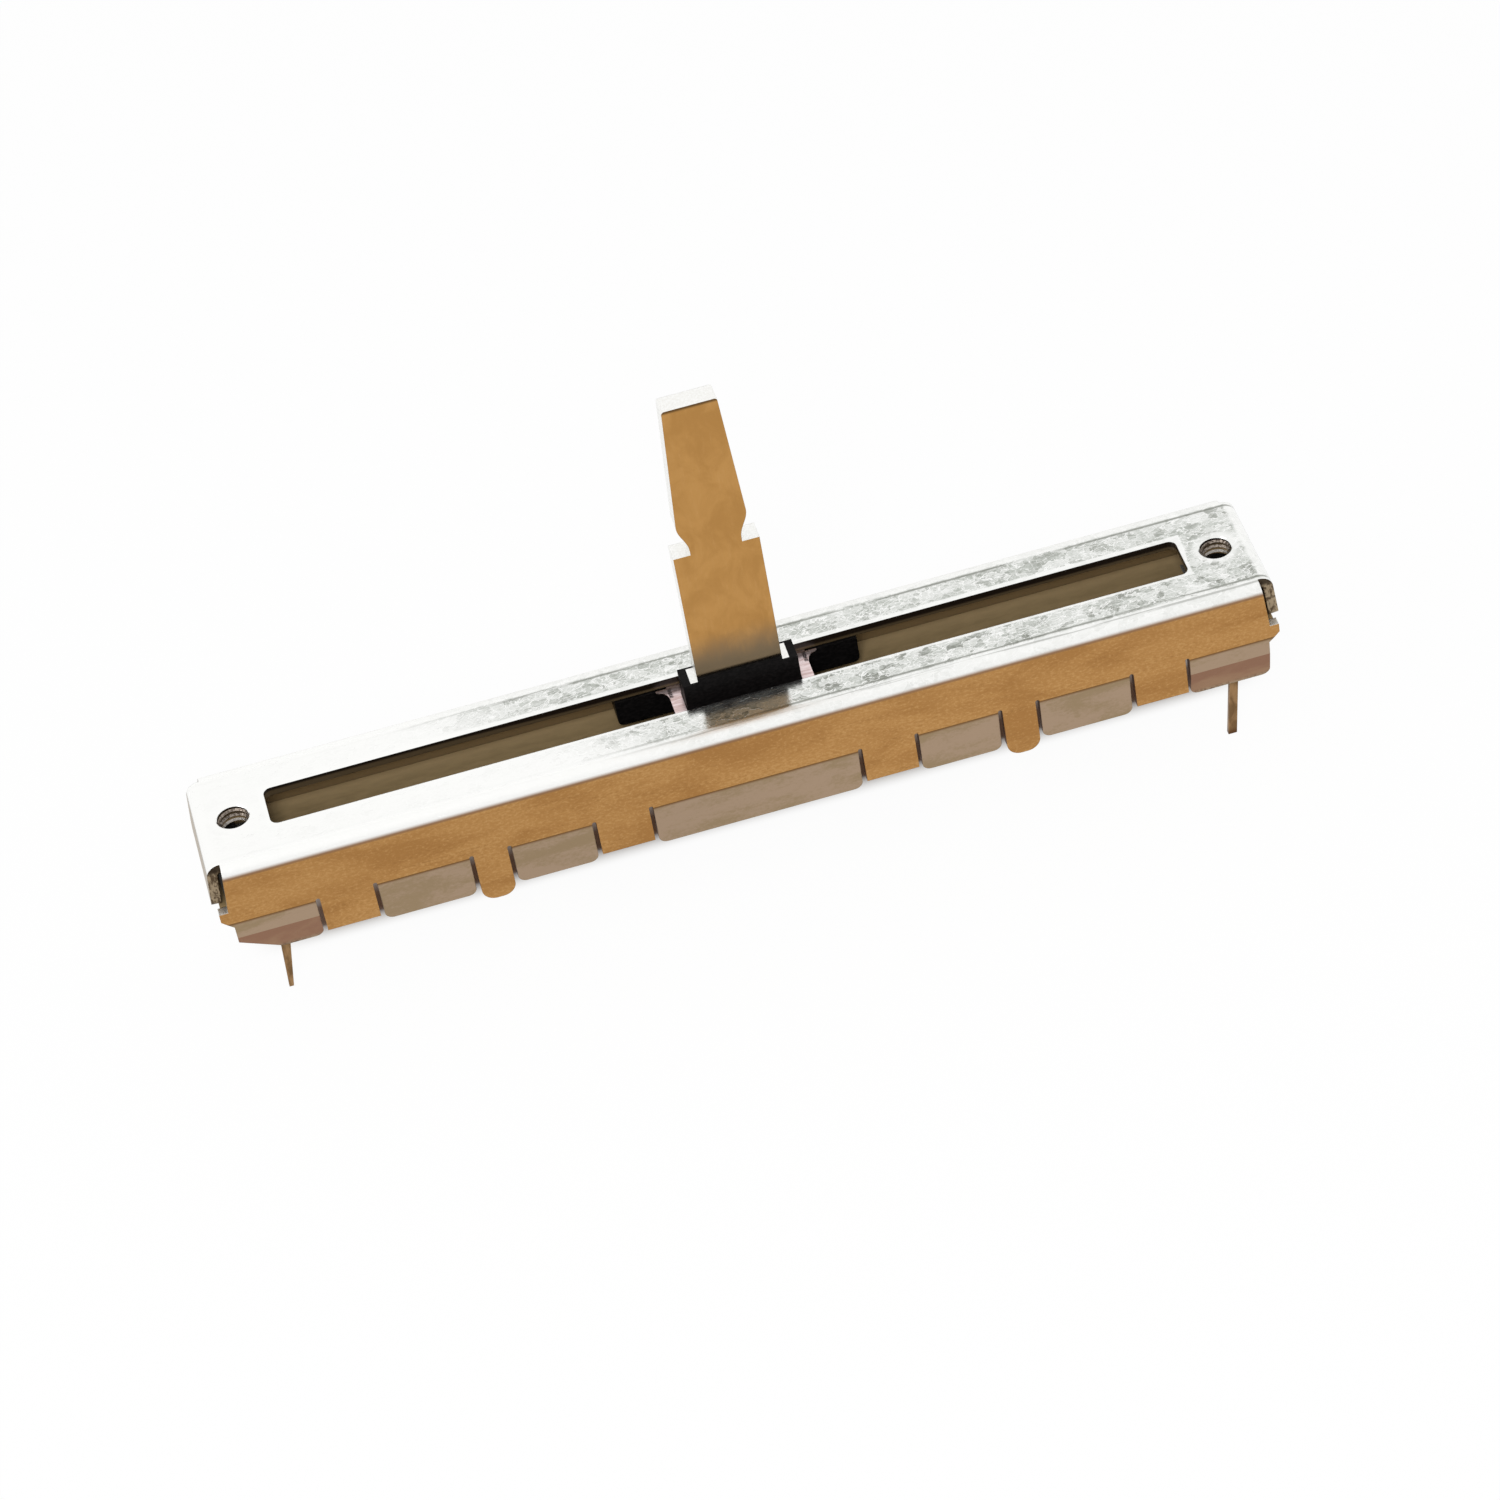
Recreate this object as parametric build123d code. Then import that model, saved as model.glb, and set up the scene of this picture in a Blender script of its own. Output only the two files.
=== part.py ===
from build123d import *
import os

# A channel fader: a slide potentiometer with a pressed steel cover.
# Millimetres. X is the travel, +Y the rear, +Z up out of the cover.
# The origin is the centre of the cover's top face, midway between the two mounting screws.

# Travel
travel = 60.0
rest_offset = 1.0          # where the slider stands, from mid travel towards +X

# Cover, pressed from one sheet
sheet = 0.8
cover_width = 12.0
bend_radius = 1.0          # outside of the bends
slot_spare = 2.6           # slot left beyond the boss at each end of the travel
slot_corner = 0.65
screw_margin = 2.75        # from the slot's end to a screw's axis
end_margin = 3.0           # from a screw's axis to the end of the cover
screw_bore = 2.5           # minor diameter of the M3 thread
collar_wall = 0.5
collar_depth = 0.9         # burr of the tapped hole, below the sheet
bore_chamfer = 0.13
wall_end_gap = 1.1         # from the end of the cover back to a side wall, and round the end bend
flange_lean = 5.0          # degrees, outwards
flange_round = 0.6
ear_slant = 0.9            # slanted corner of an ear, both ways
ear_foot = 0.4             # how far above the fold it starts

# Lower edge of the side walls, from the middle out: tab, plain edge, tab, post, tab, plain edge, end tab
centre_tab = 17.0
plain_edge = 4.6
post_width = 3.05
outer_tab = 7.75
end_tab = 7.65             # from the last relief cut to the end of the cover
relief_width = 0.34
edge_drop = 3.35           # plain edge, below the fold
post_drop = 4.8
post_round = 1.1
tab_drop = 4.25
tab_round = 0.7
tab_lean = 6.0             # degrees, inwards
end_tab_drop = 4.4
end_tab_clip = 3.2         # length of the clipped corner of the left end tabs
end_tab_rise = 2.0         # and its height
end_tab_kink = 1.8         # from the fold down to the second fold of an end tab
end_tab_lean = 14.0        # degrees, below the second fold

# Lever, moulded into the boss
lever_thickness = 1.8
lever_width = 6.85
shoulder_width = 8.0
lever_reach = 28.3
notch_height = 14.15
notch_neck = 4.1
notch_straight = 0.35
blade_widest_height = 17.2
blade_width = 5.55
blade_tip_width = 4.34
lever_round = 0.25

# Carriage
boss_wall = 0.2
boss_end_wall = 0.65
boss_side_gap = 1.0        # between the boss and the sides of the slot
boss_height = 1.5
lip_height = 0.5
bridge_margin = 0.75       # bridge beyond the boss
rail_overhang = 5.25       # rails beyond the boss
collar_gap = 0.2           # between the rails and the collars that pass between them
rail_side_gap = 0.25
rail_top_gap = 0.1
rail_height = 2.45
rail_round = 0.5
runner_width = 0.75
runner_gap = 0.05
foot_floor = 0.55          # plastic left under the lever's foot
stud_inset = 0.85          # from the end of the bridge to a stud
stud_gap = 0.3             # between a stud's head and the collector brush
stud_radius = 0.45
stud_head = 0.75
stud_head_height = 0.22

# Spring that takes up the play between the carriage and the cover
spring_sheet = 0.15
spring_gap = 0.03
spring_bar = 0.96
spring_ramp = 1.6
spring_bearing = 1.25      # how far a bar reaches under the cover beside the slot
spring_waist = 0.6         # how much narrower the spring is each side between its bars
spring_bow = 0.45
spring_fit = 0.05
pocket_fit = 0.25

# Board and its printed films
wiper_space = 0.85         # between the rails and the board
board_thickness = 1.2
board_side_gap = 0.1
board_end_gap = 0.2
film = 0.05
track_width = 2.0
collector_y = 0.6          # centreline of the collector track
track_gap = 0.5            # between a track and the runner beside it
track_margin = 1.2         # track beyond the wiper's reach
electrode_tail = 1.15      # electrode beyond the eyelet's centre

# Terminals and the eyelets that hold them
terminal_gap = 1.0         # between a leg and the plane of the wall in front of it
terminal_sheet = 0.4
terminal_width = 0.95
terminal_bend = 0.6
terminal_offset = 0.85     # leg from the eyelet's axis, at the fold
terminal_tilt = 5.7        # degrees, legs towards -X
blade_reach = 5.0          # left legs, below the posts
straight_reach = 5.85      # right legs
terminal_taper = 3.0       # from the board down to where a leg starts to taper
blade_tip = 0.36
straight_width = 0.7
eyelet_radius = 0.6
eyelet_wall = 0.2
eyelet_head = 0.95
eyelet_lip = 0.2
eyelet_gap = 0.1           # between an eyelet's head and the buffer beside it
hole_fit = 0.02

# Contact plate and brushes
plate_sheet = 0.2
plate_margin = 0.1         # plate beyond the bridge
plate_round = 0.6
window_length = 5.0
window_width = 2.4
brush_sheet = 0.12
brush_foot = 1.3
brush_reach = 3.4
brush_tip = 0.45
brush_lift = 0.14
brush_gap = 0.05
brush_fingers = 6
finger_slit = 0.12

# Rubber buffers at the ends of the travel
buffer_gap = 0.15
buffer_web = 0.35
buffer_fit = 0.05

# Lengths along the travel
boss_length = shoulder_width + 2 * boss_end_wall
slot_length = travel + boss_length + 2 * slot_spare
screw_x = slot_length / 2 + screw_margin
half_length = screw_x + end_margin
inner_end = half_length - sheet
wall_end = half_length - wall_end_gap
carriage_length = boss_length + 2 * rail_overhang
buffer_face = travel / 2 + carriage_length / 2 + buffer_gap
terminal_x = buffer_face - eyelet_gap - eyelet_head
track_half = travel / 2 + track_margin
bridge_length = boss_length + 2 * bridge_margin
plate_length = bridge_length + 2 * plate_margin
stud_x = bridge_length / 2 - stud_inset
spring_length = boss_length + 2 * (spring_fit + spring_bar)

# Relief cuts, from the centre out
end_relief = half_length - end_tab
outer_relief = end_relief - plain_edge
post_outer = outer_relief - outer_tab
post_inner = post_outer - post_width
centre_relief = centre_tab / 2
inner_relief = centre_relief + plain_edge
reliefs = (centre_relief, inner_relief, post_inner, post_outer, outer_relief, end_relief)

# Widths across the travel, from the middle out
half_width = cover_width / 2
inner_side = half_width - sheet
boss_width = lever_thickness + 2 * boss_wall
slot_width = boss_width + 2 * boss_side_gap
collar_radius = screw_bore / 2 + collar_wall
rail_inner = collar_radius + collar_gap
rail_outer = inner_side - rail_side_gap
track_y = rail_outer - runner_width - track_gap - track_width / 2
stud_y = collector_y + track_width / 2 + stud_gap + stud_head
plate_width = 2 * track_y + track_width
spring_width = slot_width + 2 * spring_bearing
terminal_face = inner_side - terminal_gap

# Depths below the cover's top, from the top down
spring_top = sheet + spring_gap
rail_top = sheet + rail_top_gap
bridge_top = spring_top + spring_bow + spring_sheet
rail_bottom = rail_top + rail_height
foot_bottom = rail_bottom - foot_floor
board_top = rail_bottom + wiper_space
film_top = board_top - film
fold = board_top + board_thickness
post_depth = fold + post_drop


def slab(length, width, low, high, corner=0.0):
    """A flat block about the Z axis between two depths below the cover's top."""
    if corner > 0:
        plan = RectangleRounded(length, width, corner)
    else:
        plan = Rectangle(length, width)
    return Pos(0, 0, -low) * extrude(plan, amount=low - high)


def bent_strip(points, radius, thickness, side):
    """The section of a strip that is bent along a line of points."""
    path = FilletPolyline(*points, radius=radius)
    return make_face(offset(path, amount=thickness, side=side))


def through(face, width):
    """A face drawn in a vertical plane, extruded both ways."""
    return extrude(face, amount=width / 2, both=True)


def mirrored(solid, *planes):
    """A solid joined with its mirror images."""
    for plane in planes:
        solid = solid + mirror(solid, about=plane)
    return solid


def wall_outline():
    """Half of a side wall seen from the front: ear, plain edges, posts and relief cuts."""
    lean = Vector(0, -1).rotate(Axis.Z, flange_lean)
    outline = [
        (0, 0),
        (wall_end, 0),
        (wall_end - board_top * lean.X / lean.Y, -board_top),
        (half_length, -board_top),
        (half_length, -fold + ear_foot),
        (half_length - ear_foot, -fold),
        (0, -fold),
    ]
    wall = make_face(Polyline(*outline, close=True))
    for inner, outer, drop, corner in (
        (centre_relief, inner_relief, edge_drop, 0),
        (post_inner, post_outer, post_drop, post_round),
        (outer_relief, end_relief, edge_drop, 0),
    ):
        width = outer - inner - relief_width
        tongue = Rectangle(width, drop, align=(Align.CENTER, Align.MAX))
        if corner > 0:
            tongue = fillet(tongue.vertices().group_by(Axis.Y)[0], corner)
        wall += Pos((inner + outer) / 2, -fold) * tongue
    for x in reliefs:
        wall -= Pos(x, -fold) * Circle(relief_width / 2)
    return wall


def tab(outline, lean, kink_depth, kink_lean):
    """A tab of the front wall: its outline seen from the front, leaning in below the fold."""
    turn = Vector(0, -1).rotate(Axis.Z, lean)
    below = Vector(0, -1).rotate(Axis.Z, kink_lean)
    start = Vector(-half_width, -fold)
    crease = start + turn * kink_depth
    tip = crease + below * post_drop
    outside = [start, crease, tip]
    inside = [point + Vector(sheet, 0) for point in reversed(outside)]
    section = make_face(Polyline(*outside, *inside, close=True))
    leaf = extrude(Plane.YZ * section, amount=half_length, both=True)
    return leaf & through(Plane.XZ * outline, 2 * cover_width)


def tabs():
    """The seven tabs of the front wall: the middle one, two pairs, and the two at the ends."""
    found = []
    for inner, outer in (
        (-outer_relief, -post_outer),
        (-post_inner, -inner_relief),
        (-centre_relief, centre_relief),
        (inner_relief, post_inner),
        (post_outer, outer_relief),
    ):
        width = outer - inner - relief_width
        outline = Rectangle(width, tab_drop, align=(Align.CENTER, Align.MAX))
        outline = fillet(outline.vertices().group_by(Axis.Y)[0], tab_round)
        outline = Pos((inner + outer) / 2, -fold) * outline
        found.append(tab(outline, tab_lean, edge_drop, tab_lean))

    inner = end_relief + relief_width / 2
    outer = half_length - ear_slant
    root = ear_slant - ear_foot
    bottom = -fold - end_tab_drop
    upper = [(outer, -fold - root), (outer + root, -fold), (inner, -fold), (inner, bottom)]
    square = make_face(Polyline((outer, bottom), *upper, close=True))
    clip = [(outer - end_tab_clip, bottom), (outer, bottom + end_tab_rise)]
    clipped = make_face(Polyline(*clip, *upper, close=True))
    right = fillet(square.vertices().group_by(Axis.Y)[0], tab_round)
    left = mirror(fillet(clipped.vertices().group_by(Axis.Y)[0], tab_round), about=Plane.YZ)
    for outline in (left, right):
        found.append(tab(outline, tab_lean, end_tab_kink, end_tab_lean))
    return found


def make_cover():
    """Top plate, two side walls, two end flanges, tapped collars and the tabs."""
    section = bent_strip(
        [(-half_width, -post_depth), (-half_width, 0), (half_width, 0), (half_width, -post_depth)],
        bend_radius, sheet, Side.RIGHT,
    )
    channel = extrude(Plane.YZ * section, amount=half_length, both=True)
    wall = Plane.XZ * wall_outline()
    channel = channel & through(mirrored(wall, Plane.YZ), 2 * cover_width)

    lean = Vector(0, -1).rotate(Axis.Z, flange_lean)
    foot = Vector(half_length, 0) + lean * ((board_top - sheet * lean.X) / -lean.Y)
    corner = [(wall_end, 0), (half_length, 0), foot]
    flange = Plane.XZ * bent_strip(corner, wall_end_gap, sheet, Side.RIGHT)
    flange = through(flange, cover_width - 2 * bend_radius)
    foot_corners = flange.edges().filter_by(Axis.X, tolerance=2 * flange_lean).group_by(Axis.Z)[0]
    flange = fillet(foot_corners, flange_round)
    cover = channel + flange + mirror(flange, about=Plane.YZ)

    for leaf in tabs():
        cover = cover + mirrored(leaf, Plane.XZ)

    plate_cut = slab(slot_length, slot_width, -sheet, 2 * sheet, slot_corner)
    cover = cover - plate_cut
    for side in (-1, 1):
        place = Pos(side * screw_x, 0, -sheet)
        collar = Cylinder(collar_radius, collar_depth, align=(Align.CENTER, Align.CENTER, Align.MAX))
        bore = Cylinder(screw_bore / 2, 4 * (sheet + collar_depth))
        rim = Cone(screw_bore / 2, screw_bore / 2 + bore_chamfer, bore_chamfer)
        rim = Pos(side * screw_x, 0, -bore_chamfer / 2) * rim
        cover = cover + place * collar - place * bore - rim
    return cover


def make_board():
    """Laminate board with a hole for each eyelet."""
    length = 2 * (half_length - board_end_gap)
    width = 2 * (inner_side - board_side_gap)
    board = slab(length, width, fold, board_top)
    for x in (-terminal_x, terminal_x):
        for y in (-track_y, track_y):
            board = board - Pos(x, y, -fold) * Cylinder(eyelet_radius + hole_fit, 4 * board_thickness)
    return board


def make_track(y):
    """Printed track under one brush."""
    return Pos(0, y, 0) * slab(2 * track_half, track_width, board_top, film_top)


def make_electrode(end, y, pad_y):
    """Printed end of a track, with a pad round the eyelet."""
    reach = terminal_x + electrode_tail - track_half
    lane = Pos(end * (track_half + reach / 2), y, 0) * slab(reach, track_width, board_top, film_top)
    pad_width = abs(pad_y - y) + track_width
    pad = Pos(end * terminal_x, (y + pad_y) / 2, 0) * slab(
        2 * electrode_tail, pad_width, board_top, film_top
    )
    hole = Cylinder(eyelet_radius + hole_fit, 2 * board_thickness)
    return lane + pad - Pos(end * terminal_x, pad_y, -board_top) * hole


def make_eyelet():
    """Hollow rivet on the Z axis, with a head on the film and a rolled lip under the terminal."""
    bottom = fold + terminal_sheet
    grip = bottom - film_top
    upright = (Align.CENTER, Align.CENTER, Align.MIN)
    shank = Pos(0, 0, -bottom) * Cylinder(eyelet_radius, grip, align=upright)
    head = Cone(eyelet_head, eyelet_head - eyelet_lip, eyelet_lip, align=upright)
    lip = mirror(head, about=Plane.XY)
    eyelet = shank + Pos(0, 0, -film_top) * head + Pos(0, 0, -bottom) * lip
    return eyelet - Pos(0, 0, -fold) * Cylinder(eyelet_radius - eyelet_wall, 4 * grip)


def make_terminal(top_width, tip_width, reach):
    """Front terminal of an eyelet at x = 0: a ring under the board and a leg that hangs from it."""
    ring_radius = eyelet_head + terminal_sheet / 2
    tip = post_depth + reach
    section = bent_strip(
        [(-track_y, -fold), (-terminal_face, -fold), (-terminal_face, -tip)],
        terminal_bend, terminal_sheet, Side.LEFT,
    )
    strip = extrude(Plane.YZ * section, amount=ring_radius + terminal_offset, both=True)
    half = make_face(Polyline(
        (0, terminal_bend),
        (terminal_width / 2, terminal_bend),
        (terminal_width / 2, -terminal_bend),
        (top_width / 2, -terminal_taper),
        (tip_width / 2, fold - tip),
        (tip_width / 2, -tip),
        (0, -tip),
        close=True,
    ))
    outline = Pos(terminal_offset, -fold) * Rot(0, 0, -terminal_tilt) * mirrored(half, Plane.YZ)
    leg = strip & through(Plane.XZ * outline, 2 * cover_width)
    ring = Pos(0, -track_y, -fold) * Cylinder(
        ring_radius, terminal_sheet, align=(Align.CENTER, Align.CENTER, Align.MAX)
    )
    hole = Pos(0, -track_y, -fold) * Cylinder(eyelet_radius + hole_fit, 4 * terminal_sheet)
    return leg + ring - hole


def make_carriage():
    """Two rails joined by a bridge, with runners below and the boss that rises through the slot."""
    rail_width = rail_outer - rail_inner
    rail_plan = Pos(0, (rail_inner + rail_outer) / 2, 0)
    rail = rail_plan * slab(carriage_length, rail_width, rail_bottom, rail_top)
    rail = fillet(rail.edges().filter_by(Axis.Y).group_by(Axis.Z)[0], rail_round)
    runner_length = carriage_length - 2 * rail_round
    runner = Pos(0, rail_outer - runner_width / 2, 0) * slab(
        runner_length, runner_width, board_top - runner_gap, rail_top
    )
    carriage = mirrored(rail + runner, Plane.XZ)
    carriage += slab(bridge_length, 2 * rail_inner, rail_bottom, bridge_top)
    carriage -= slab(
        spring_length + 2 * pocket_fit, spring_width + 2 * pocket_fit, bridge_top, 0
    )
    carriage += slab(boss_length, boss_width, bridge_top, -boss_height)
    carriage += slab(lever_width, boss_width, bridge_top, -boss_height - lip_height)
    carriage -= slab(shoulder_width, lever_thickness, foot_bottom, -lever_reach)
    for x in (-stud_x, stud_x):
        stud = Cylinder(stud_radius, plate_sheet, align=(Align.CENTER, Align.CENTER, Align.MAX))
        head = Cone(
            stud_head - stud_head_height, stud_head, stud_head_height,
            align=(Align.CENTER, Align.CENTER, Align.MAX),
        )
        carriage += Pos(x, stud_y, -rail_bottom) * (stud + Pos(0, 0, -plate_sheet) * head)
    return carriage


def make_lever():
    """Flat steel blade with shoulders in the boss and a notch each side for a knob."""
    half_notch = notch_neck / 2
    neck_top = notch_height + notch_straight
    swell = Spline(
        (half_notch, neck_top),
        (blade_width / 2, blade_widest_height),
        tangents=[(0, 1), (blade_tip_width - blade_width, 2 * (lever_reach - blade_widest_height))],
    )
    edge = Polyline(
        (0, -foot_bottom),
        (shoulder_width / 2, -foot_bottom),
        (shoulder_width / 2, boss_height),
        (lever_width / 2, boss_height),
        (lever_width / 2, notch_height),
        (half_notch, notch_height),
        (half_notch, neck_top),
    )
    tip = (blade_tip_width / 2, lever_reach)
    top = Polyline((blade_width / 2, blade_widest_height), tip, (0, lever_reach))
    axis = Line((0, lever_reach), (0, -foot_bottom))
    half = make_face(edge + swell + top + axis)
    half = fillet(half.vertices().group_by(Axis.Y)[-1].sort_by(Axis.X)[-1], lever_round)
    return through(mirrored(Plane.XZ * half, Plane.YZ), lever_thickness)


def make_spring():
    """Bowed frame round the boss, whose end bars cross the slot and bear under the cover."""
    middle = bridge_top
    pads = spring_top + spring_sheet
    half = spring_length / 2
    ramp_top = half - spring_bar
    ramp_foot = ramp_top - spring_ramp
    line = [
        (-half, -pads), (-ramp_top, -pads), (-ramp_foot, -middle),
        (ramp_foot, -middle), (ramp_top, -pads), (half, -pads),
    ]
    section = bent_strip(line, spring_sheet, spring_sheet, Side.LEFT)
    spring = through(Plane.XZ * section, spring_width)
    notch_length = 2 * ramp_top
    for side in (-1, 1):
        place = Pos(0, side * (spring_width - spring_waist) / 2, 0)
        spring -= place * slab(notch_length, spring_waist, 2 * middle, 0)
    return spring - slab(boss_length + 2 * spring_fit, boss_width + 2 * spring_fit, 2 * middle, 0)


def make_contact_plate():
    """Plate staked under the carriage that joins the two brushes."""
    low = rail_bottom + plate_sheet
    plate = slab(plate_length, plate_width, low, rail_bottom, plate_round)
    plate -= slab(window_length, window_width, 2 * low, 0, plate_round)
    for x in (-stud_x, stud_x):
        plate -= Pos(x, stud_y, -low) * Cylinder(stud_radius + hole_fit, 4 * plate_sheet)
    return plate


def make_brush(y):
    """Comb of springy fingers welded under the contact plate, one tip line on its track."""
    top = rail_bottom + plate_sheet
    contact = film_top - brush_gap
    line = [
        (-brush_reach - brush_foot, -top - brush_sheet),
        (-brush_reach, -top - brush_sheet),
        (0, -contact),
        (brush_tip, -contact + brush_lift),
    ]
    section = Plane.XZ * bent_strip(line, 2 * brush_sheet, brush_sheet, Side.LEFT)
    comb = through(section, track_width)
    pitch = track_width / brush_fingers
    cut = Box(2 * brush_reach, finger_slit, 2 * top, align=(Align.MIN, Align.CENTER, Align.CENTER))
    for slit in range(1, brush_fingers):
        comb -= Pos(-brush_reach, slit * pitch - track_width / 2, -top) * cut
    return Pos(0, y, 0) * comb


def make_buffer():
    """Rubber buffer of the +X end: two pads in line with the rails, joined behind the collar."""
    low = film_top - buffer_fit
    high = sheet + buffer_fit
    depth = inner_end - buffer_face
    width = 2 * rail_outer
    block = Pos(buffer_face + depth / 2, 0, 0) * slab(depth, width, low, high)
    rim = block.edges().filter_by(Axis.Y).group_by(Axis.Z)[-1].sort_by(Axis.X)[-1]
    block = fillet(rim, wall_end_gap - sheet + buffer_fit)
    mouth = depth - buffer_web
    return block - Pos(buffer_face + mouth / 2, 0, 0) * slab(mouth, 2 * rail_inner, low, high)


nodes = {
    "cover": make_cover(),
    "base_board": make_board(),
    "resistive_track": make_track(-track_y),
    "collector_track": make_track(collector_y),
}
eyelet = make_eyelet()
blade = make_terminal(terminal_width, blade_tip, blade_reach)
straight = make_terminal(straight_width, straight_width, straight_reach)
buffer = make_buffer()
for end, end_name in ((-1, "left"), (1, "right")):
    nodes["track_electrode_" + end_name] = make_electrode(end, -track_y, -track_y)
    nodes["collector_electrode_" + end_name] = make_electrode(end, collector_y, track_y)
    nodes["eyelet_track_" + end_name] = Pos(end * terminal_x, -track_y, 0) * eyelet
    nodes["eyelet_collector_" + end_name] = Pos(end * terminal_x, track_y, 0) * eyelet
    front = blade if end < 0 else straight
    nodes["terminal_track_" + end_name] = Pos(end * terminal_x, 0, 0) * front
    nodes["terminal_collector_" + end_name] = Pos(end * terminal_x, 0, 0) * mirror(front, about=Plane.XZ)
    nodes["end_buffer_" + end_name] = buffer if end > 0 else mirror(buffer, about=Plane.YZ)

slider = Pos(rest_offset, 0, 0)
nodes["carriage"] = slider * make_carriage()
nodes["lever"] = slider * make_lever()
nodes["glide_spring"] = slider * make_spring()
nodes["contact_plate"] = slider * make_contact_plate()
nodes["track_brush"] = slider * make_brush(-track_y)
nodes["collector_brush"] = slider * make_brush(collector_y)

os.makedirs("parts", exist_ok=True)
for name, solid in nodes.items():
    export_step(solid, "parts/" + name + ".step")
    print(name, round(solid.volume, 3), solid.bounding_box())
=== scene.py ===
import math

import bmesh
import bpy
from mathutils import Matrix, Vector


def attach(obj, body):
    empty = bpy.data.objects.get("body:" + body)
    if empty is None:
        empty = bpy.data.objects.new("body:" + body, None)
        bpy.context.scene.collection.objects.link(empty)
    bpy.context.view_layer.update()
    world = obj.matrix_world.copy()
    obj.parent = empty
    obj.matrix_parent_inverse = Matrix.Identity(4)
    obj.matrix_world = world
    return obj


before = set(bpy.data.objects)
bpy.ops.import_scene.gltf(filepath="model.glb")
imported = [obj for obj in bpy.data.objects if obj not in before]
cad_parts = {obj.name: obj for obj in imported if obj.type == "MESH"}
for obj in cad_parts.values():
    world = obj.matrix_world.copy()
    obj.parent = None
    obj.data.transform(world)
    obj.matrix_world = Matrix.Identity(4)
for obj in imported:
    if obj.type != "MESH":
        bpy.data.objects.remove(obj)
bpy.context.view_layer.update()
MM = 0.001

# The view of the photograph: a long lens from the front left, looking down at about forty degrees.
# Its place and turn come from the straight edges of the cover, whose screws are 80 mm apart.
picture_width = 1500
focal_pixels = 5253.9
sensor = 36.0
nearest, farthest = 0.01, 20.0
eye = Vector((-34.335, -306.190, 272.259)) * MM
to_right = Vector((0.96070287, -0.23897712, -0.14120884))
to_foot = Vector((-0.26453299, -0.63410566, -0.72658951))
forward = Vector((0.08409694, 0.73539102, -0.67240445))
camera_data = bpy.data.cameras.new("camera")
camera_data.sensor_width = sensor
camera_data.lens = focal_pixels / picture_width * sensor
camera_data.clip_start = nearest
camera_data.clip_end = farthest
camera = bpy.data.objects.new("camera", camera_data)
camera.matrix_world = Matrix.Translation(eye) @ Matrix((to_right, -to_foot, -forward)).transposed().to_4x4()
bpy.context.scene.collection.objects.link(camera)
bpy.context.scene.camera = camera
bpy.context.scene.view_settings.view_transform = "Standard"

# The table: a sheet of matt white paper that the four pins stand on. The camera and the metal see it
# plain white; only under the part and just behind it does it show in its own light, and there its
# colour is painted darker too, a painted soft warm shadow with a browner core, which is what the
# relief slots of the cover look through to.
floor_depth, floor_reach = 16.05 * MM, 3.0
shadow_x, shadow_front, shadow_rear, shadow_end = 1.0, (0.2, 3.0), (15.0, 4.0), (43.0, 35.5)
core_front, core_rear, core_end = (1.5, 2.6), (6.8, 4.6), (40.5, 37.5)


class Wire:
    """A shader socket that can stand in a sum."""

    def __init__(self, paint, socket):
        self.paint = paint
        self.socket = socket

    def _sum(self, operation, first, second):
        return self.paint.node("ShaderNodeMath", {"operation": operation}, {0: first, 1: second})

    def __add__(self, other):
        return self._sum("ADD", self, other)

    def __radd__(self, other):
        return self._sum("ADD", other, self)

    def __sub__(self, other):
        return self._sum("SUBTRACT", self, other)

    def __rsub__(self, other):
        return self._sum("SUBTRACT", other, self)

    def __mul__(self, other):
        return self._sum("MULTIPLY", self, other)

    def __rmul__(self, other):
        return self._sum("MULTIPLY", other, self)

    def size(self):
        return self._sum("ABSOLUTE", self, 0.0)

    def root(self):
        return self._sum("POWER", self, 0.5)

    def larger(self, other):
        return self._sum("MAXIMUM", self, other)

    def rise(self, low, high):
        """From 0 at low to 1 at high, smoothly, whichever of the two is larger."""
        settings = {"interpolation_type": "SMOOTHSTEP"}
        sockets = {"Value": self, "From Min": low, "From Max": high}
        return self.paint.node("ShaderNodeMapRange", settings, sockets)


class Paint:
    """The nodes that colour a finish or the room."""

    def __init__(self, tree):
        self.tree = tree

    def join(self, socket, value):
        if isinstance(value, Wire):
            self.tree.links.new(value.socket, socket)
        else:
            socket.default_value = value

    def node(self, kind, settings, sockets, output=0):
        """Adds a node, its settings first, and gives one output of it, or the whole node for None."""
        made = self.tree.nodes.new(kind)
        for name, value in settings.items():
            setattr(made, name, value)
        for name, value in sockets.items():
            self.join(made.inputs[name], value)
        return made if output is None else Wire(self, made.outputs[output])

    def in_view(self):
        """1 where the camera looks, in metal and through glass too, and 0 for light on its way."""
        path = self.node("ShaderNodeLightPath", {}, {}, None)
        straight, mirrored, through = (
            Wire(self, path.outputs["Is " + kind + " Ray"]) for kind in ("Camera", "Glossy", "Transmission")
        )
        return straight.larger(mirrored).larger(through)


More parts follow.
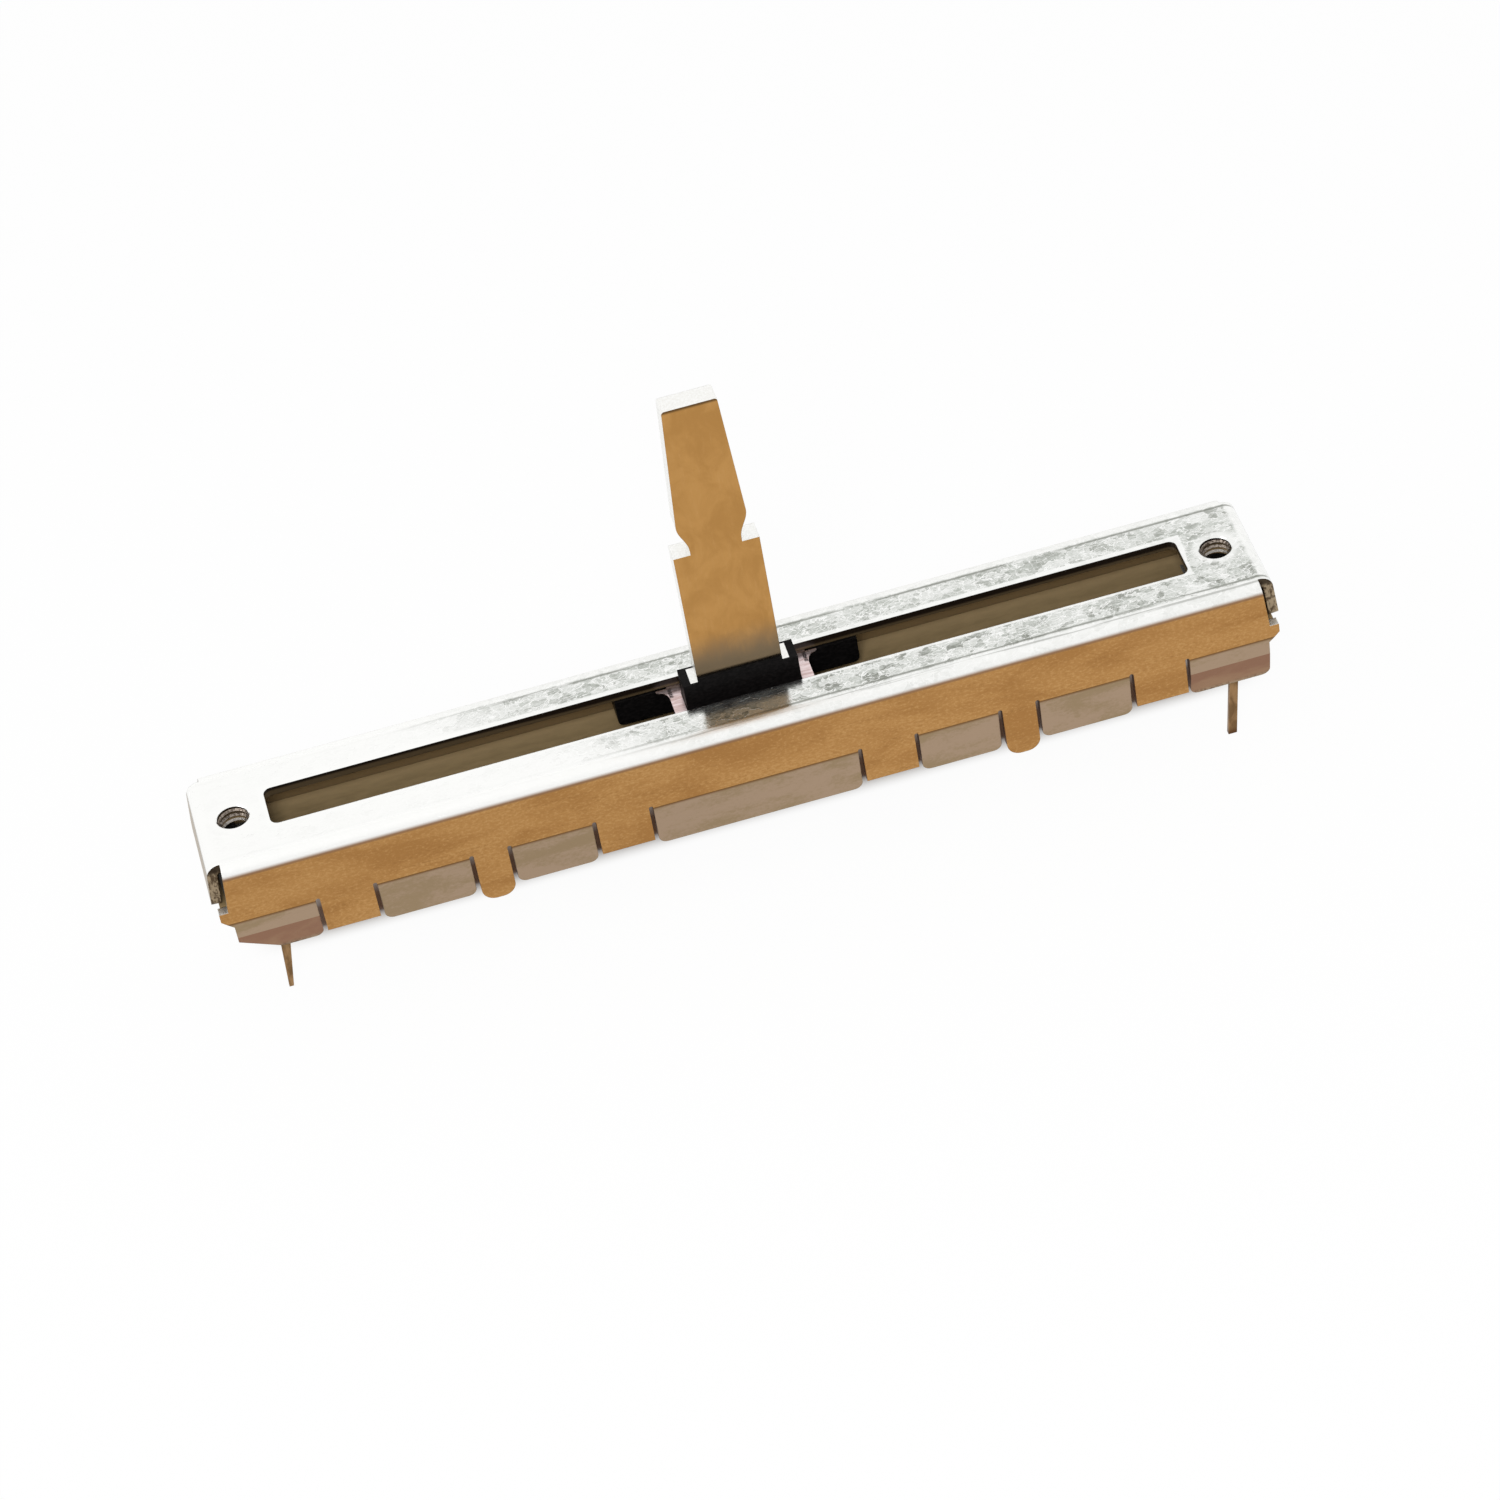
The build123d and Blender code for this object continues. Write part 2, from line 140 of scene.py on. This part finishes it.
class Finish(Paint):
    """A material and the nodes that draw it. Patterns are in millimetres on the object."""

    def __init__(self, name):
        self.material = bpy.data.materials.new(name)
        self.material.use_nodes = True
        super().__init__(self.material.node_tree)
        self.shader = self.tree.nodes["Principled BSDF"]
        place = self.node("ShaderNodeTexCoord", {}, {}, "Object")
        self.place = self.node("ShaderNodeVectorMath", {"operation": "SCALE"}, {0: place, "Scale": 1 / MM})
        split = self.node("ShaderNodeSeparateXYZ", {}, {0: self.place}, None)
        self.x, self.y, self.z = (Wire(self, socket) for socket in split.outputs)
        normal = self.node("ShaderNodeTexCoord", {}, {}, "Normal")
        facing = self.node("ShaderNodeSeparateXYZ", {}, {0: normal}, None)
        self.nx, self.ny, self.nz = (Wire(self, socket) for socket in facing.outputs)

    def swirled(self, amount, scale):
        """The place on the object, pushed about by a slow pattern, by up to half the amount in mm."""
        sockets = {"Vector": self.place, "Scale": scale, "Detail": 3.0}
        pattern = self.node("ShaderNodeTexNoise", {}, sockets, "Color")
        middle = (0.5, 0.5, 0.5)
        centred = self.node("ShaderNodeVectorMath", {"operation": "SUBTRACT"}, {0: pattern, 1: middle})
        push = self.node("ShaderNodeVectorMath", {"operation": "SCALE"}, {0: centred, "Scale": amount})
        return self.node("ShaderNodeVectorMath", {"operation": "ADD"}, {0: self.place, 1: push})

    def noise(self, scale, detail=4.0, stretch=(1.0, 1.0, 1.0), roughness=0.55, twist=0.0):
        """Cloudy pattern between 0 and 1; scale is in features to the millimetre."""
        place = self.node("ShaderNodeMapping", {}, {"Vector": self.place, "Scale": stretch})
        sockets = {
            "Vector": place, "Scale": scale, "Detail": detail,
            "Roughness": roughness, "Distortion": twist,
        }
        return self.node("ShaderNodeTexNoise", {}, sockets)

    def cells(self, scale, place, stretch=(1.0, 1.0, 1.0)):
        """Patches of random lightness, and the distance from the lines between them."""
        place = self.node("ShaderNodeMapping", {}, {"Vector": place, "Scale": stretch})
        sockets = {"Vector": place, "Scale": scale}
        tints = self.node("ShaderNodeTexVoronoi", {"feature": "F1"}, sockets, "Color")
        lines = self.node("ShaderNodeTexVoronoi", {"feature": "DISTANCE_TO_EDGE"}, sockets, "Distance")
        return self.node("ShaderNodeSeparateXYZ", {}, {0: tints}), lines

    def mix(self, share, first, second):
        """The first colour where share is 0 and the second where it is 1."""
        made = self.node("ShaderNodeMix", {"data_type": "RGBA"}, {0: share}, None)
        for socket, value in ((made.inputs[6], first), (made.inputs[7], second)):
            self.join(socket, value if isinstance(value, Wire) or len(value) == 4 else (*value, 1.0))
        return Wire(self, made.outputs[2])

    def relief(self, height, depth, edge=0.0):
        """Bump of a pattern whose full height is depth, on edges rounded by edge, both in millimetres."""
        sockets = {"Height": height, "Strength": 1.0, "Distance": depth * MM}
        if edge > 0.0:
            sockets["Normal"] = self.node("ShaderNodeBevel", {"samples": 6}, {"Radius": edge * MM})
        return self.node("ShaderNodeBump", {}, sockets)

    def use(self, **sockets):
        for name, value in sockets.items():
            self.join(self.shader.inputs[name.replace("_", " ")], value)


def srgb(red, green, blue):
    """A colour as it is seen, turned into light."""
    return tuple((c / 255 / 12.92) if c / 255 <= 0.04045 else ((c / 255 + 0.055) / 1.055) ** 2.4
                 for c in (red, green, blue))


def add_piece(name, bm, material):
    """Makes an object of a mesh that already lies in its place, and gives it its finish."""
    mesh = bpy.data.meshes.new(name)
    bm.to_mesh(mesh)
    bm.free()
    mesh.materials.append(material)
    made = bpy.data.objects.new(name, mesh)
    bpy.context.scene.collection.objects.link(made)
    return made


paper = Finish("white_paper")
sideways = (paper.x - shadow_x).size()
# Painted shadow: the paper's colour is painted a soft warm grey under and behind the part, browner in a
# core strip.
beneath = paper.y.rise(*shadow_front) * paper.y.rise(*shadow_rear) * sideways.rise(*shadow_end)
shadow_core = paper.y.rise(*core_front) * paper.y.rise(*core_rear) * sideways.rise(*core_end)
shadow = paper.mix(shadow_core * 0.85, srgb(150, 130, 112), srgb(92, 56, 30))
paper.use(Base_Color=paper.mix(beneath, (0.86, 0.86, 0.86), shadow), Roughness=0.9)
glow = paper.node("ShaderNodeEmission", {}, {"Color": (1.0, 1.0, 1.0, 1.0), "Strength": 1.0})
share = paper.in_view() * 0.95 * (1.0 - beneath.larger(shadow_core))
lit = Wire(paper, paper.shader.outputs["BSDF"])
surface = paper.node("ShaderNodeMixShader", {}, {0: share, 1: lit, 2: glow})
paper.join(paper.tree.nodes["Material Output"].inputs["Surface"], surface)
bm = bmesh.new()
bmesh.ops.create_grid(bm, x_segments=1, y_segments=1, size=floor_reach)
bmesh.ops.translate(bm, vec=(0, 0, -floor_depth), verts=bm.verts)
floor = add_piece("floor", bm, paper.material)

# The room: an even white surround, a soft lamp above the front and a weaker one from the left.
# The surround is plain white wherever the camera looks, and dimmer as a light on the part.
dimmed = 0.62
world = bpy.data.worlds.new("room")
bpy.context.scene.world = world
world.use_nodes = True
room = Paint(world.node_tree)
surround = room.node("ShaderNodeMapRange", {}, {"Value": room.in_view(), "To Min": dimmed, "To Max": 1.0})
background = world.node_tree.nodes["Background"]
room.join(background.inputs["Color"], (1.0, 1.0, 1.0, 1.0))
room.join(background.inputs["Strength"], surround)
for lamp_name, place, size, power, mirrored in (
    ("lamp_front", (-0.08, -0.37, 0.37), 0.16, 1.5, False),
    ("lamp_left", (-0.42, -0.10, 0.26), 0.25, 0.35, True),
):
    lamp_data = bpy.data.lights.new(lamp_name, "AREA")
    lamp_data.size = size
    lamp_data.energy = power
    lamp = bpy.data.objects.new(lamp_name, lamp_data)
    lamp.location = place
    lamp.rotation_euler = (-Vector(place)).to_track_quat("-Z", "Y").to_euler()
    lamp.visible_glossy = mirrored
    bpy.context.scene.collection.objects.link(lamp)

# Cover: one channel pressed from plated sheet steel. The top is bright, with grey spangle that grows
# stronger to the right, where the painted glare on the left gives way; the walls are painted with the
# warm table's reflection, and the tabs, which lean in and hold the board, are painted greyer as their
# tilted reflection. Cut edges are spotted, the slot's rim is painted dark as shade, and the inside is
# painted dull brown.
half_slot, half_slot_width, slot_rim_foot, slot_rim_top = 37.25, 2.1, (-0.95, -0.85), (-0.66, -0.44)
screw_x, bore, bore_rim = 40.0, 1.25, 0.5
side_bend, end_bend, bend_blur, glare_edge = (4.55, 4.95), (41.9, 42.3), (4.7, 5.0), (-7.0, -21.0)
wall_face, wall_cut, flange_face = (2.6, 4.4), (5.3, 5.1), (41.0, 42.4)
fold, crease, relief_top, relief_reach = -5.4, (-0.34, -0.02), 0.3, (41.0, 40.0)
bright, silver_grey, spot_grey = srgb(253, 253, 251), srgb(190, 194, 187), srgb(134, 136, 128)
tan, tan_light, tan_deep = srgb(184, 137, 81), srgb(200, 156, 100), srgb(166, 119, 66)
beige, beige_olive, crease_shade = srgb(172, 148, 124), srgb(158, 136, 106), srgb(122, 88, 50)
umber, umber_light = srgb(146, 108, 84), srgb(158, 124, 96)


def dress(name, material):
    """Gives a part of the frame its finish."""
    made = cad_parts[name]
    made.data.materials.clear()
    made.data.materials.append(material)


steel = Finish("cover_steel")
tint, lines = steel.cells(1.5, steel.swirled(1.1, 1.6), (0.6, 1.0, 1.0))
speck = steel.noise(4.2, 5.0, (0.55, 1.0, 1.0), 0.68, 1.2)
flow = steel.noise(0.6, 4.0, (0.4, 1.0, 1.0), 0.6, 0.5)
streaks = steel.noise(3.2, 3.0, (0.04, 1.0, 1.0), 0.6)
across = steel.y.size()
along = steel.x.size()
# Painted glare: towards the front left the spangle and spots fade into a blown-out white.
left_glare = (steel.x + steel.y * 1.4).rise(*glare_edge)
outside_glare = 1.0 - left_glare * 0.96
# Painted highlights: the spangle fades to bright white along the bends, round the screw holes and along the
# slot's edge.
rim_width = steel.y.rise(-1.0, 1.0) * 0.22 + speck * 0.12
rim = ((along - half_slot).larger(across - half_slot_width) - rim_width).rise(0.26, 0.12)
hole = ((along - screw_x) * (along - screw_x) + steel.y * steel.y).root() - speck * 0.6
hole_rim_highlight = hole.rise(bore + bore_rim, bore) * 0.8
band = across.rise(*side_bend).larger(along.rise(*end_bend)).larger(hole_rim_highlight).larger(rim)
spangle = 0.22 + tint.rise(0.10, 0.85) * 0.34 + flow.rise(0.35, 0.60) * 0.24 + speck.rise(0.40, 0.60) * 0.28
vein = (steel.noise(1.2, 3.0, (0.5, 1.0, 1.0), 0.5, 0.9) - 0.5).size().rise(0.022, 0.006)
spangle = spangle * (1.0 - lines.rise(0.07, 0.0) * 0.6) * (1.0 - vein * 0.85)
mottle = spangle * outside_glare * (1.0 - band * 0.78)
plate = steel.mix(mottle, bright, silver_grey)
patches = steel.noise(1.0, 4.0, (0.5, 1.0, 1.0), 0.62, 0.7)
spots = (speck * 0.55 + tint * 0.25 + patches * 0.2).rise(0.48, 0.66) * outside_glare * (1.0 - band * 0.9)
spots = spots * (0.25 + patches.rise(0.42, 0.56) * 0.75) * (1.0 - vein)
plate = steel.mix(spots * (0.50 + steel.y.rise(0.0, -3.0) * 0.35), plate, spot_grey)
bend_line = across.rise(4.42, 4.56) * across.rise(4.80, 4.62) * streaks.rise(0.36, 0.50)
front_line = steel.y.rise(-4.98, -5.08) * steel.y.rise(-5.32, -5.18) * streaks.rise(0.42, 0.56)
plate = steel.mix((bend_line * 0.80).larger(front_line * 0.5) * (1.0 - left_glare * 0.98), plate, spot_grey)
# Painted reflection: the rear bend, facing away, is painted a dull beige.
plate = steel.mix(steel.ny.rise(0.52, 0.64) * 0.75, plate, srgb(178, 172, 152))
clouds = steel.noise(0.35, 5.0, (0.35, 1.0, 1.0), 0.6, 0.4)
fine = steel.noise(5.0, 4.0, (0.6, 1.0, 1.0), 0.7)
# Painted reflection: the walls are painted tan, as they mirror the warm table, with cloudy and fine grain.
wall = steel.mix(clouds.rise(0.36, 0.60) * 0.7 + 0.3, tan_deep, tan)
wall = steel.mix((fine * 0.75 + clouds * 0.25).rise(0.47, 0.64) * 0.8, wall, tan_light)
wall = steel.mix((fine * 0.6 + streaks * 0.4).rise(0.46, 0.34) * 0.45, wall, srgb(150, 108, 62))
# Painted shade: a darker brown band where the wall turns into the bend.
wall = steel.mix(steel.nz.rise(0.01, 0.14) * 0.85, wall, srgb(146, 112, 84))
# Painted reflection: the leaning tabs are painted greyer beige, and their kinked lower ends umber, for what
# their tilt mirrors.
leaning = steel.nz.rise(-0.04, -0.085)
kinked = steel.nz.rise(-0.15, -0.21)
tab_reflection = steel.mix((clouds * 0.7 + fine * 0.3).rise(0.44, 0.58), beige, beige_olive)
# Painted shade: brown along the crease at the top of each tab.
tab_reflection = steel.mix((steel.z - fold).rise(*crease), tab_reflection, crease_shade)
wall = steel.mix(leaning, wall, tab_reflection)
wall = steel.mix(kinked, wall, steel.mix(clouds.rise(0.40, 0.62), umber, umber_light))
outward = (steel.ny * steel.y).rise(*wall_face)
strip_edge = across.rise(*wall_cut) * outward
edge_spots = steel.noise(2.6, 4.0, (1.0, 1.0, 0.6), 0.62, 0.9)
cut = steel.mix(edge_spots.rise(0.42, 0.58), srgb(92, 76, 58), srgb(166, 148, 122))
# Painted shade: the cut edges darken towards their tops, under the corner notches.
cut = steel.mix(steel.z.rise(-1.0, -0.5) * 0.9, cut, srgb(52, 42, 32))
# Painted shade: the side faces of the relief slots are painted dark brown.
relief_cut = steel.nx.size().rise(0.7, 0.95) * steel.z.rise(fold, fold - relief_top)
relief_cut = relief_cut * along.rise(*relief_reach)
beyond = (steel.nx * steel.x).rise(*flange_face)
# Painted shade: the slot's cut rim is dark at the top and dark brown below, less dark under the painted
# glare; the inside is painted a dull brown lighter than the shade it stands in.
slot_rim_shade = steel.mix((steel.z - left_glare * 0.25).rise(*slot_rim_top), srgb(84, 70, 50), srgb(26, 18, 12))
inside = steel.mix(steel.z.rise(*slot_rim_foot), srgb(142, 120, 86), slot_rim_shade)
side = steel.mix(outward, inside, wall)
side = steel.mix(strip_edge, side, cut)
side = steel.mix(beyond, side, srgb(158, 142, 116))
side = steel.mix(relief_cut, side, srgb(96, 58, 30))
upward = steel.nz.rise(0.14, 0.5)
sheet_grain = steel.noise(9.0, 3.0, (0.25, 1.0, 1.0), 0.6)
steel.use(
    Base_Color=steel.mix(upward, side, plate),
    Metallic=1.0 - (1.0 - upward) * (1.0 - outward) * (1.0 - beyond) * 0.8 - mottle * upward * 0.12,
    Roughness=0.10 + mottle * 0.10 + (across.rise(*bend_blur) * 0.35).larger((1.0 - upward) * 0.24),
    Normal=steel.relief(tint * 0.4 + speck * 0.4 + sheet_grain * 0.2, 0.014, 0.10),
)
dress("cover", steel.material)

# Threads: the M3 thread tapped in each screw hole, a ridge of the cover's own steel that winds down
# the burred collar. It is painted dark as the shade inside the hole, in random patches, and painted
# lighter on the lower turns, where the table lights it.
ends = {"left": -1, "right": 1}
pitch, turns, steps_per_turn = 0.5, 3, 24
thread_top, half_ridge, ridge_depth, sunk, lower_turns = -0.2, 0.16, 0.13, 0.01, (-0.8, -1.5)
tapped = Finish("thread_steel")
thread_patches = tapped.noise(5.0, 4.0)
# Painted shade and light: dark in random patches, lighter on the lower turns.
thread_colour = tapped.mix(thread_patches.rise(0.35, 0.65), srgb(70, 60, 52), srgb(172, 160, 148))
thread_colour = tapped.mix(tapped.z.rise(*lower_turns) * 0.6, thread_colour, srgb(214, 210, 204))
tapped.use(
    Base_Color=thread_colour,
    Metallic=1.0,
    Roughness=0.32 + thread_patches * 0.15,
    Normal=tapped.relief(thread_patches, 0.01),
)
for end, sign in ends.items():
    bm = bmesh.new()
    corners = [
        (bore + sunk, 0.0, thread_top), (bore - ridge_depth, 0.0, thread_top - half_ridge),
        (bore + sunk, 0.0, thread_top - 2 * half_ridge),
    ]
    profile = bm.faces.new([bm.verts.new(Vector(corner) * MM) for corner in corners])
    bmesh.ops.spin(
        bm, geom=[profile, *profile.edges, *profile.verts], cent=(0, 0, 0), axis=(0, 0, 1),
        dvec=(0, 0, -pitch / steps_per_turn * MM), angle=2 * math.pi * turns,
        steps=steps_per_turn * turns, use_merge=False, use_duplicate=False,
    )
    bmesh.ops.translate(bm, vec=(sign * screw_x * MM, 0, 0), verts=bm.verts)
    bmesh.ops.recalc_face_normals(bm, faces=bm.faces)
    thread = add_piece("thread_" + end, bm, tapped.material)
    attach(thread, "base")

# Board: brown paper laminate that the cover's tabs hold from below, with the black carbon tracks and
# their silver ends printed on it. The laminate is painted lighter towards the rear, as the slot shows
# it in the photograph, because the cover shades it more here.
board_rear = (3.4, 4.8)
laminate = Finish("laminate")
fibre = laminate.noise(2.2, 5.0, (0.3, 1.0, 1.0), 0.6, 0.4)
board_colour = laminate.mix(fibre.rise(0.30, 0.70), srgb(142, 122, 88), srgb(156, 134, 98))
board_colour = laminate.mix(laminate.y.rise(*board_rear) * 0.4, board_colour, srgb(196, 170, 128))
laminate.use(
    Base_Color=board_colour,
    Roughness=0.38 + fibre * 0.2,
    Normal=laminate.relief(fibre, 0.01),
)
dress("base_board", laminate.material)
carbon = Finish("carbon_film")
grit = carbon.noise(14.0, 3.0)
carbon.use(
    Base_Color=carbon.mix(grit.rise(0.3, 0.7), srgb(24, 24, 25), srgb(44, 43, 42)),
    Roughness=0.4 + grit * 0.2,
    Normal=carbon.relief(grit, 0.004),
)
dress("resistive_track", carbon.material)
dress("collector_track", carbon.material)
silver = Finish("silver_film")
flakes = silver.noise(18.0, 3.0)
silver.use(
    Base_Color=silver.mix(flakes.rise(0.3, 0.7), srgb(176, 174, 166), srgb(214, 212, 204)),
    Metallic=0.8,
    Roughness=0.38 + flakes * 0.15,
    Normal=silver.relief(flakes, 0.004),
)
for end in ends:
    dress("track_electrode_" + end, silver.material)
    dress("collector_electrode_" + end, silver.material)

# Pins and eyelets: tinned brass strip, punched and folded into four pins, each held to the board and
# its silver end by a hollow rivet. They are painted with the warm table's reflection, with painted
# shade near the cover, and darker at the tips.
pin_root, pin_tip = (-11.5, -9.6), (-15.4, -16.0)
tin = Finish("tinned_brass")
drift = tin.noise(1.4, 4.0, (1.0, 1.0, 0.4), 0.6, 0.5)
grain = tin.noise(9.0, 3.0, (1.0, 1.0, 0.25))
tin_colour = tin.mix(drift.rise(0.35, 0.65), srgb(116, 88, 56), srgb(158, 124, 86))
# Painted shade: darker near the cover, under the board.
tin_colour = tin.mix(tin.z.rise(*pin_root) * 0.6, tin_colour, srgb(96, 78, 44))
tin_colour = tin.mix(tin.z.rise(*pin_tip) * 0.8, tin_colour, srgb(84, 50, 24))
tin.use(
    Base_Color=tin_colour,
    Metallic=0.9,
    Roughness=0.34 + grain * 0.2,
    Normal=tin.relief(grain, 0.008),
)
for end in ends:
    for row in ("track", "collector"):
        dress("terminal_" + row + "_" + end, tin.material)
        dress("eyelet_" + row + "_" + end, tin.material)

# Buffers: black rubber blocks, each two pads joined behind the screw's collar, gripped between board
# and cover at both ends. They stop the rails of the carriage softly.
rubber = Finish("black_rubber")
dust = rubber.noise(5.0, 4.0)
rubber.use(
    Base_Color=rubber.mix(dust.rise(0.4, 0.8), srgb(22, 22, 22), srgb(46, 45, 43)),
    Roughness=0.7 + dust * 0.2,
    Normal=rubber.relief(dust, 0.01),
)
for end in ends:
    dress("end_buffer_" + end, rubber.material)

# Carriage: black acetal, two rails and a bridge with the boss that rises through the slot. It is
# moulded round the foot of the lever in one shot, smooth with faint flow lines.
acetal = Finish("black_acetal")
skin = acetal.noise(7.0, 4.0, (0.5, 1.0, 1.0))
acetal.use(
    Base_Color=acetal.mix(skin.rise(0.35, 0.75), srgb(10, 9, 9), srgb(24, 22, 22)),
    Roughness=0.34 + skin * 0.18,
    Specular_IOR_Level=0.05,
    Normal=acetal.relief(skin, 0.006, 0.08),
)
dress("carriage", acetal.material)

# Spring, contact plate and brushes: bright strip that rides with the carriage, the spring on top and
# the others staked and welded below. The spring's bars across the slot widen at the rear, into the
# ears made here, where they join its long sides.
strip = Finish("spring_strip")
rolled = strip.noise(4.0, 4.0, (0.15, 1.0, 1.0))
# Painted reflection: the strip's pinkish tint is the warm table it mirrors.
strip.use(
    Base_Color=strip.mix(rolled.rise(0.35, 0.65), srgb(206, 180, 176), srgb(240, 222, 222)),
    Metallic=0.95,
    Roughness=0.24 + rolled * 0.12,
    Normal=strip.relief(rolled, 0.004),
)
dress("glide_spring", strip.material)
dress("contact_plate", strip.material)
slider_x, bar_out, bar_width, ear_reach = 1.0, 5.66, 0.3, 0.9
ear_low, ear_high, ear_front, ear_rear = -0.89, -0.83, 0.7, 1.93
for end, sign in ends.items():
    bm = bmesh.new()
    outline = [
        (bar_out - bar_width, ear_front), (bar_out, ear_front), (bar_out + 0.12, 1.15),
        (bar_out + 0.38, 1.5), (bar_out + ear_reach, 1.72), (bar_out + ear_reach, ear_rear),
        (bar_out - bar_width, ear_rear),
    ]
    sheet = bm.faces.new([bm.verts.new(Vector((slider_x + sign * x, y, ear_low)) * MM) for x, y in outline])
    raised = bmesh.ops.extrude_face_region(bm, geom=[sheet])["geom"]
    bmesh.ops.translate(
        bm, vec=(0, 0, (ear_high - ear_low) * MM),
        verts=[part for part in raised if isinstance(part, bmesh.types.BMVert)],
    )
    bmesh.ops.recalc_face_normals(bm, faces=bm.faces)
    ear = add_piece("spring_ear_" + end, bm, strip.material)
    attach(ear, "slider")
wiper = Finish("contact_alloy")
drawn = wiper.noise(10.0, 3.0, (0.1, 1.0, 1.0))
wiper.use(
    Base_Color=wiper.mix(drawn.rise(0.3, 0.7), srgb(202, 178, 120), srgb(228, 206, 152)),
    Metallic=0.95,
    Roughness=0.22 + drawn * 0.14,
    Normal=wiper.relief(drawn, 0.003),
)
dress("track_brush", wiper.material)
dress("collector_brush", wiper.material)

# Lever: flat plated steel, blanked to shape with two notches for the knob. Its broad faces are painted
# with the warm table's reflection, with painted shade towards the foot in the boss and along the top
# edge, and its cut edges are bright.
lever_foot, lever_tip = (7.6, 3.8), (27.95, 28.2)
blade = Finish("lever_steel")
brush = blade.noise(5.0, 5.0, (1.0, 1.0, 0.12), 0.6)
haze = blade.noise(0.45, 5.0, (1.0, 1.0, 0.6), 0.6, 0.5)
face = blade.mix(haze.rise(0.36, 0.64), srgb(181, 134, 75), srgb(193, 145, 84))
face = blade.mix((brush * 0.6 + haze * 0.4).rise(0.5, 0.75) * 0.5, face, srgb(202, 156, 98))
foot_shade = (blade.z + haze * 1.6 + brush * 0.8).rise(*lever_foot)
face = blade.mix(foot_shade * 0.94, face, srgb(128, 113, 92))
# Painted shade: a dark line along the top edge of the broad faces.
face = blade.mix(blade.z.rise(*lever_tip) * 0.8, face, srgb(70, 52, 34))
edge = blade.mix(brush.rise(0.35, 0.7), srgb(243, 242, 238), srgb(253, 253, 251))
blade.use(
    Base_Color=blade.mix(blade.ny.size().rise(0.6, 0.9), edge, face),
    Metallic=1.0,
    Roughness=0.28 + brush * 0.14,
    Normal=blade.relief(brush, 0.008, 0.08),
)
dress("lever", blade.material)
